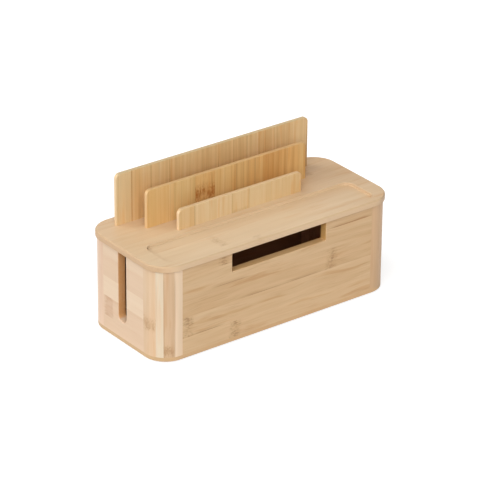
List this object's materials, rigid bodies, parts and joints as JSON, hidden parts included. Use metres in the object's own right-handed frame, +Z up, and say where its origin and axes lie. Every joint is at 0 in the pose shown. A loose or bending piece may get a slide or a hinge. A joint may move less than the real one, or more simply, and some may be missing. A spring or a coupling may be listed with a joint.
{
  "type": "cable management box",
  "caption": "Bamboo cable box with rounded corners, cable openings in its front and ends, and a lift-off lid with a shallow tray and stepped upright device dividers.",
  "frame": {"origin": "on the surface that the box stands on, under the middle of the box", "axes": "+X along the box to its right as seen from the front, +Y to the back, +Z up"},
  "size_m": [0.334, 0.143, 0.183],
  "materials": {
    "bamboo_panel": "satin clear lacquer, horizontal grain",
    "bamboo_end_panel": "satin clear lacquer, pale, horizontal grain",
    "bamboo_post": "satin clear lacquer, upright laminated strips",
    "bamboo_base": "satin clear lacquer",
    "bamboo_lid": "satin clear lacquer, long grain",
    "bamboo_divider": "satin clear lacquer, upright edge grain",
    "bamboo_block": "sanded, unlacquered",
    "eva_foam": "matt closed-cell foam"
  },
  "bodies": {
    "box": {"bottom_board": "bamboo_base", "front_panel": "bamboo_panel", "back_panel": "bamboo_panel", "left_end_panel": "bamboo_end_panel", "right_end_panel": "bamboo_end_panel", "front_left_post": "bamboo_post", "front_left_foot": "eva_foam", "front_right_post": "bamboo_post", "front_right_foot": "eva_foam", "rear_left_post": "bamboo_post", "rear_left_foot": "eva_foam", "rear_right_post": "bamboo_post", "rear_right_foot": "eva_foam"},
    "lid": {"lid_board": "bamboo_lid", "back_divider": "bamboo_divider", "middle_divider": "bamboo_divider", "front_divider": "bamboo_divider", "front_left_lid_block": "bamboo_block", "front_right_lid_block": "bamboo_block", "rear_left_lid_block": "bamboo_block", "rear_right_lid_block": "bamboo_block"}
  },
  "joints": [
    {"name": "lid_lift", "type": "slide", "parent": "box", "child": "lid", "axis": [0, 0, 1], "range_m": [0, 0.12]}
  ]
}
